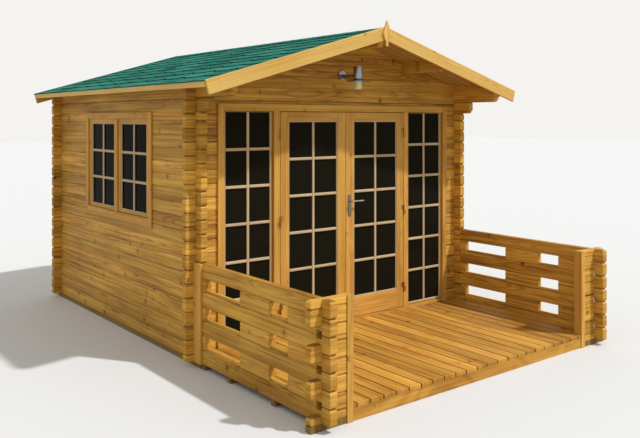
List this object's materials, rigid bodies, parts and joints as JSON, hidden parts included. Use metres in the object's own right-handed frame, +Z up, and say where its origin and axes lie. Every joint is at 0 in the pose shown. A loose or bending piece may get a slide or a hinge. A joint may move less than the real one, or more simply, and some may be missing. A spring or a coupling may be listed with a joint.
{
  "type": "log cabin",
  "caption": "Small garden log cabin with a pitched shingle roof, glazed double doors and a railed open veranda.",
  "frame": {"origin": "on the ground, under the middle of the whole outline", "axes": "+Z up, -Y the way the doors face, +X to the right of someone facing the doors"},
  "size_m": [3.458, 4.82, 2.7298],
  "materials": {
    "log": "oiled spruce logs",
    "bearer": "treated softwood",
    "board": "oiled spruce boards",
    "joinery": "oiled spruce joinery",
    "deck": "oiled spruce deck boards",
    "shingle": "green mineral felt",
    "glass": "clear",
    "hinge_steel": "zinc plated",
    "handle_steel": "satin",
    "lamp_steel": "galvanised",
    "lamp_glass": "opal"
  },
  "bodies": {
    "root": {"sill_log": "log", "front_wall_left": "log", "front_wall_right": "log", "lintel_log": "log", "front_gable": "log", "rear_wall": "log", "left_wall": "log", "right_wall": "log", "eave_logs": "log", "panel_rails": "log", "panel_spacers": "log", "front_return_left": "log", "front_return_right": "log", "ridge_purlin": "log", "side_purlins": "log", "side_bearers": "bearer", "cross_bearers": "bearer", "deck_joists": "bearer", "bargeboards_left": "board", "bargeboards_right": "board", "finials": "board", "eave_boards": "board", "roof_boards_left": "board", "roof_boards_right": "board", "cabin_floor": "board", "return_posts": "board", "joint_covers": "board", "deck_edge_beam": "board", "frame_uprights": "joinery", "frame_head": "joinery", "frame_sill": "joinery", "sidelight_sashes": "joinery", "window_frames": "joinery", "window_sashes": "joinery", "veranda_deck": "deck", "roof_shingles_left": "shingle", "roof_shingles_right": "shingle", "ridge_cap": "shingle", "sidelight_glass": "glass", "window_glass": "glass", "frame_hinges": "hinge_steel", "lamp_bracket": "lamp_steel", "lamp_shade": "lamp_steel", "lamp_glass": "lamp_glass"},
    "left_door": {"left_door_leaf": "joinery", "left_door_glass": "glass", "left_door_hinges": "hinge_steel"},
    "right_door": {"right_door_leaf": "joinery", "right_door_glass": "glass", "right_door_hinges": "hinge_steel", "handle_plates": "handle_steel"},
    "lever": {"lever_handle": "handle_steel"}
  },
  "joints": [
    {"name": "left_door_hinge", "type": "hinge", "parent": "root", "child": "left_door", "pos_m": [-0.7145, -0.782, 1.04], "axis": [0, 0, -1], "range_deg": [0, 110]},
    {"name": "right_door_hinge", "type": "hinge", "parent": "root", "child": "right_door", "pos_m": [0.7145, -0.782, 1.04], "axis": [0, 0, 1], "range_deg": [0, 110]},
    {"name": "lever_turn", "type": "hinge", "parent": "right_door", "child": "lever", "pos_m": [0.042, -0.755, 1.175], "axis": [0, 1, 0], "range_deg": [0, 40], "stiffness_Nm_per_rad": 2, "springref_deg": -34.38}
  ]
}
